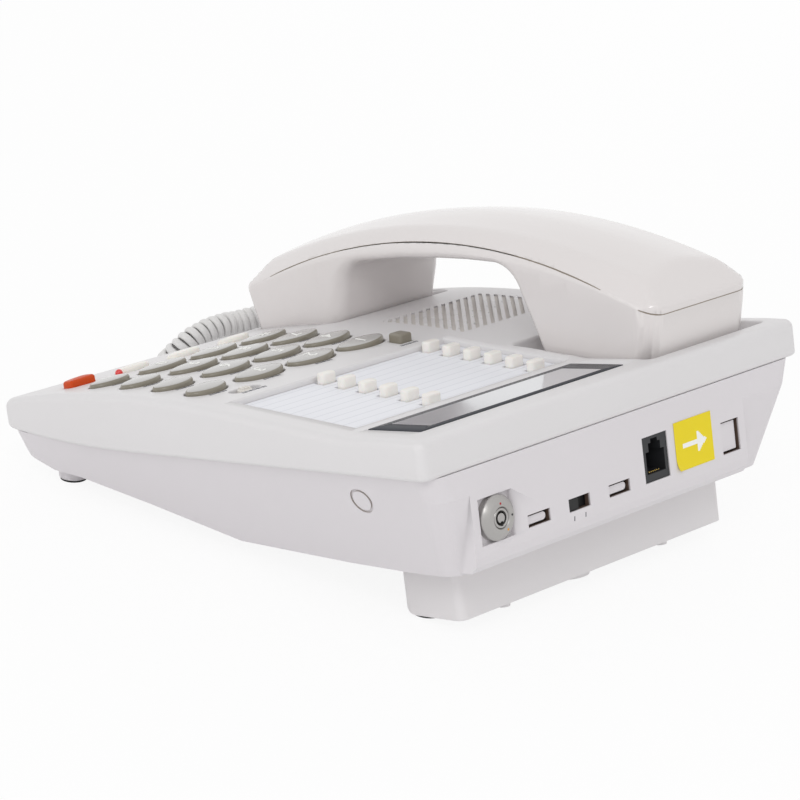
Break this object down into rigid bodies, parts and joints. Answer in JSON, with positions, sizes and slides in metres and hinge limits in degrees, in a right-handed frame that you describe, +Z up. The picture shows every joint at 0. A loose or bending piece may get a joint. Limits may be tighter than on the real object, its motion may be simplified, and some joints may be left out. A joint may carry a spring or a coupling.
{
  "type": "corded landline phone",
  "caption": "Wedge-shaped corded desk phone: keypad, memory buttons and display on a sloped base with a rear stand, handset in its cradle at the left, coiled cord.",
  "frame": {"origin": "middle of the phone's footprint, on the surface that it stands on, with the coiled cord and its plugs left out", "axes": "+Z up, +Y to the back of the base where the line jack is, +X to the right of the person using it; the handset lies along the left side"},
  "size_m": [0.2329, 0.2703, 0.1047],
  "materials": {
    "shell_white": "fine moulded texture, slightly glossy",
    "shell_grey": "fine moulded texture",
    "rubber_black": "soft, dull",
    "steel": "plated",
    "jack_black": "moulded, dull",
    "label_yellow": "printed paper, bare",
    "lock_metal": "worn nickel plate",
    "switch_black": "moulded",
    "lens_smoke": "clear window over a printed frame",
    "lcd_grey": "liquid crystal glass, off",
    "card_white": "paper card with ruled lines",
    "board_green": "solder mask",
    "mat_grey": "silicone",
    "speaker_black": "moulded",
    "led_red": "clear tinted",
    "key_grey": "smooth, glossy",
    "key_cream": "smooth",
    "key_orange": "smooth, glossy",
    "cord_white": "soft vinyl"
  },
  "bodies": {
    "base": {"upper_shell": "shell_white", "lower_shell": "shell_grey", "stand": "shell_grey", "rubber_pads": "rubber_black", "screws": "steel", "modular_jacks": "jack_black", "sticker": "label_yellow", "lock_body": "lock_metal", "display_lens": "lens_smoke", "lcd_module": "lcd_grey", "index_card": "card_white", "main_board": "board_green", "key_mat": "mat_grey", "speaker": "speaker_black", "led": "led_red", "base_plug": "cord_white", "handset_cord": "cord_white"},
    "handset": {"handset_upper": "shell_white", "handset_lower": "shell_grey", "receiver": "speaker_black", "microphone": "speaker_black", "handset_plug": "cord_white"},
    "hook_switch": {"hook_switch": "shell_white"},
    "key_1": {"key_1": "key_grey"},
    "key_2": {"key_2": "key_grey"},
    "key_3": {"key_3": "key_grey"},
    "key_fn1": {"key_fn1": "key_grey"},
    "key_4": {"key_4": "key_grey"},
    "key_5": {"key_5": "key_grey"},
    "key_6": {"key_6": "key_grey"},
    "key_fn2": {"key_fn2": "key_grey"},
    "key_7": {"key_7": "key_grey"},
    "key_8": {"key_8": "key_grey"},
    "key_9": {"key_9": "key_grey"},
    "key_fn3": {"key_fn3": "key_grey"},
    "key_star": {"key_star": "key_grey"},
    "key_0": {"key_0": "key_grey"},
    "key_hash": {"key_hash": "key_grey"},
    "key_fn4": {"key_fn4": "key_grey"},
    "key_cream1": {"key_cream1": "key_cream"},
    "key_cream2": {"key_cream2": "key_cream"},
    "key_cream3": {"key_cream3": "key_cream"},
    "key_orange": {"key_orange": "key_orange"},
    "memory_1": {"memory_1": "key_cream"},
    "memory_2": {"memory_2": "key_cream"},
    "memory_3": {"memory_3": "key_cream"},
    "memory_4": {"memory_4": "key_cream"},
    "memory_5": {"memory_5": "key_cream"},
    "memory_6": {"memory_6": "key_cream"},
    "memory_7": {"memory_7": "key_cream"},
    "memory_8": {"memory_8": "key_cream"},
    "memory_9": {"memory_9": "key_cream"},
    "memory_10": {"memory_10": "key_cream"},
    "memory_11": {"memory_11": "key_cream"},
    "memory_12": {"memory_12": "key_cream"},
    "push_button": {"push_button": "key_grey"},
    "function_switch": {"function_switch": "key_cream"},
    "tone_switch": {"tone_switch": "switch_black"},
    "lock_plug": {"lock_plug": "lock_metal"}
  },
  "joints": [
    {"name": "handset_lift", "type": "slide", "parent": "base", "child": "handset", "axis": [0, -0.2385, 0.9711], "range_m": [0, 0.06]},
    {"name": "hook_rise", "type": "slide", "parent": "base", "child": "hook_switch", "axis": [0, -0.2385, 0.9711], "range_m": [0, 0.004]},
    {"name": "key_1_press", "type": "slide", "parent": "base", "child": "key_1", "axis": [0, 0.1849, -0.9828], "range_m": [0, 0.0012], "stiffness_N_per_m": 400, "springref_m": -0.0004},
    {"name": "key_2_press", "type": "slide", "parent": "base", "child": "key_2", "axis": [0, 0.1849, -0.9828], "range_m": [0, 0.0012], "stiffness_N_per_m": 400, "springref_m": -0.0004},
    {"name": "key_3_press", "type": "slide", "parent": "base", "child": "key_3", "axis": [0, 0.1849, -0.9828], "range_m": [0, 0.0012], "stiffness_N_per_m": 400, "springref_m": -0.0004},
    {"name": "key_fn1_press", "type": "slide", "parent": "base", "child": "key_fn1", "axis": [0, 0.1849, -0.9828], "range_m": [0, 0.0012], "stiffness_N_per_m": 400, "springref_m": -0.0004},
    {"name": "key_4_press", "type": "slide", "parent": "base", "child": "key_4", "axis": [0, 0.2235, -0.9747], "range_m": [0, 0.0012], "stiffness_N_per_m": 400, "springref_m": -0.0004},
    {"name": "key_5_press", "type": "slide", "parent": "base", "child": "key_5", "axis": [0, 0.2235, -0.9747], "range_m": [0, 0.0012], "stiffness_N_per_m": 400, "springref_m": -0.0004},
    {"name": "key_6_press", "type": "slide", "parent": "base", "child": "key_6", "axis": [0, 0.2235, -0.9747], "range_m": [0, 0.0012], "stiffness_N_per_m": 400, "springref_m": -0.0004},
    {"name": "key_fn2_press", "type": "slide", "parent": "base", "child": "key_fn2", "axis": [0, 0.2235, -0.9747], "range_m": [0, 0.0012], "stiffness_N_per_m": 400, "springref_m": -0.0004},
    {"name": "key_7_press", "type": "slide", "parent": "base", "child": "key_7", "axis": [0, 0.2618, -0.9651], "range_m": [0, 0.0012], "stiffness_N_per_m": 400, "springref_m": -0.0004},
    {"name": "key_8_press", "type": "slide", "parent": "base", "child": "key_8", "axis": [0, 0.2618, -0.9651], "range_m": [0, 0.0012], "stiffness_N_per_m": 400, "springref_m": -0.0004},
    {"name": "key_9_press", "type": "slide", "parent": "base", "child": "key_9", "axis": [0, 0.2618, -0.9651], "range_m": [0, 0.0012], "stiffness_N_per_m": 400, "springref_m": -0.0004},
    {"name": "key_fn3_press", "type": "slide", "parent": "base", "child": "key_fn3", "axis": [0, 0.2618, -0.9651], "range_m": [0, 0.0012], "stiffness_N_per_m": 400, "springref_m": -0.0004},
    {"name": "key_star_press", "type": "slide", "parent": "base", "child": "key_star", "axis": [0, 0.2997, -0.954], "range_m": [0, 0.0012], "stiffness_N_per_m": 400, "springref_m": -0.0004},
    {"name": "key_0_press", "type": "slide", "parent": "base", "child": "key_0", "axis": [0, 0.2997, -0.954], "range_m": [0, 0.0012], "stiffness_N_per_m": 400, "springref_m": -0.0004},
    {"name": "key_hash_press", "type": "slide", "parent": "base", "child": "key_hash", "axis": [0, 0.2997, -0.954], "range_m": [0, 0.0012], "stiffness_N_per_m": 400, "springref_m": -0.0004},
    {"name": "key_fn4_press", "type": "slide", "parent": "base", "child": "key_fn4", "axis": [0, 0.2997, -0.954], "range_m": [0, 0.0012], "stiffness_N_per_m": 400, "springref_m": -0.0004},
    {"name": "key_cream1_press", "type": "slide", "parent": "base", "child": "key_cream1", "axis": [0, 0.3372, -0.9414], "range_m": [0, 0.0012], "stiffness_N_per_m": 400, "springref_m": -0.0004},
    {"name": "key_cream2_press", "type": "slide", "parent": "base", "child": "key_cream2", "axis": [0, 0.3372, -0.9414], "range_m": [0, 0.0012], "stiffness_N_per_m": 400, "springref_m": -0.0004},
    {"name": "key_cream3_press", "type": "slide", "parent": "base", "child": "key_cream3", "axis": [0, 0.3372, -0.9414], "range_m": [0, 0.0012], "stiffness_N_per_m": 400, "springref_m": -0.0004},
    {"name": "key_orange_press", "type": "slide", "parent": "base", "child": "key_orange", "axis": [0, 0.3372, -0.9414], "range_m": [0, 0.0012], "stiffness_N_per_m": 400, "springref_m": -0.0004},
    {"name": "memory_1_press", "type": "slide", "parent": "base", "child": "memory_1", "axis": [0, 0.149, -0.9888], "range_m": [0, 0.001], "stiffness_N_per_m": 300, "springref_m": -0.0004},
    {"name": "memory_2_press", "type": "slide", "parent": "base", "child": "memory_2", "axis": [0, 0.149, -0.9888], "range_m": [0, 0.001], "stiffness_N_per_m": 300, "springref_m": -0.0004},
    {"name": "memory_3_press", "type": "slide", "parent": "base", "child": "memory_3", "axis": [0, 0.149, -0.9888], "range_m": [0, 0.001], "stiffness_N_per_m": 300, "springref_m": -0.0004},
    {"name": "memory_4_press", "type": "slide", "parent": "base", "child": "memory_4", "axis": [0, 0.149, -0.9888], "range_m": [0, 0.001], "stiffness_N_per_m": 300, "springref_m": -0.0004},
    {"name": "memory_5_press", "type": "slide", "parent": "base", "child": "memory_5", "axis": [0, 0.149, -0.9888], "range_m": [0, 0.001], "stiffness_N_per_m": 300, "springref_m": -0.0004},
    {"name": "memory_6_press", "type": "slide", "parent": "base", "child": "memory_6", "axis": [0, 0.149, -0.9888], "range_m": [0, 0.001], "stiffness_N_per_m": 300, "springref_m": -0.0004},
    {"name": "memory_7_press", "type": "slide", "parent": "base", "child": "memory_7", "axis": [0, 0.149, -0.9888], "range_m": [0, 0.001], "stiffness_N_per_m": 300, "springref_m": -0.0004},
    {"name": "memory_8_press", "type": "slide", "parent": "base", "child": "memory_8", "axis": [0, 0.149, -0.9888], "range_m": [0, 0.001], "stiffness_N_per_m": 300, "springref_m": -0.0004},
    {"name": "memory_9_press", "type": "slide", "parent": "base", "child": "memory_9", "axis": [0, 0.149, -0.9888], "range_m": [0, 0.001], "stiffness_N_per_m": 300, "springref_m": -0.0004},
    {"name": "memory_10_press", "type": "slide", "parent": "base", "child": "memory_10", "axis": [0, 0.149, -0.9888], "range_m": [0, 0.001], "stiffness_N_per_m": 300, "springref_m": -0.0004},
    {"name": "memory_11_press", "type": "slide", "parent": "base", "child": "memory_11", "axis": [0, 0.149, -0.9888], "range_m": [0, 0.001], "stiffness_N_per_m": 300, "springref_m": -0.0004},
    {"name": "memory_12_press", "type": "slide", "parent": "base", "child": "memory_12", "axis": [0, 0.149, -0.9888], "range_m": [0, 0.001], "stiffness_N_per_m": 300, "springref_m": -0.0004},
    {"name": "push_button_press", "type": "slide", "parent": "base", "child": "push_button", "axis": [0, 0.1638, -0.9865], "range_m": [0, 0.0015], "stiffness_N_per_m": 400, "springref_m": -0.0004},
    {"name": "function_switch_slide", "type": "slide", "parent": "base", "child": "function_switch", "axis": [1, 0, 0], "range_m": [-0.0035, 0.0035]},
    {"name": "tone_switch_slide", "type": "slide", "parent": "base", "child": "tone_switch", "axis": [-1, 0, 0], "range_m": [0, 0.005]},
    {"name": "lock_turn", "type": "hinge", "parent": "base", "child": "lock_plug", "pos_m": [0.0674, 0.11235, 0.0465], "axis": [0, 0.9711, 0.2385], "range_deg": [0, 90]}
  ],
  "couplings": [
    {"joint": "hook_rise", "follows": "handset_lift", "ratio": 0.0666}
  ]
}
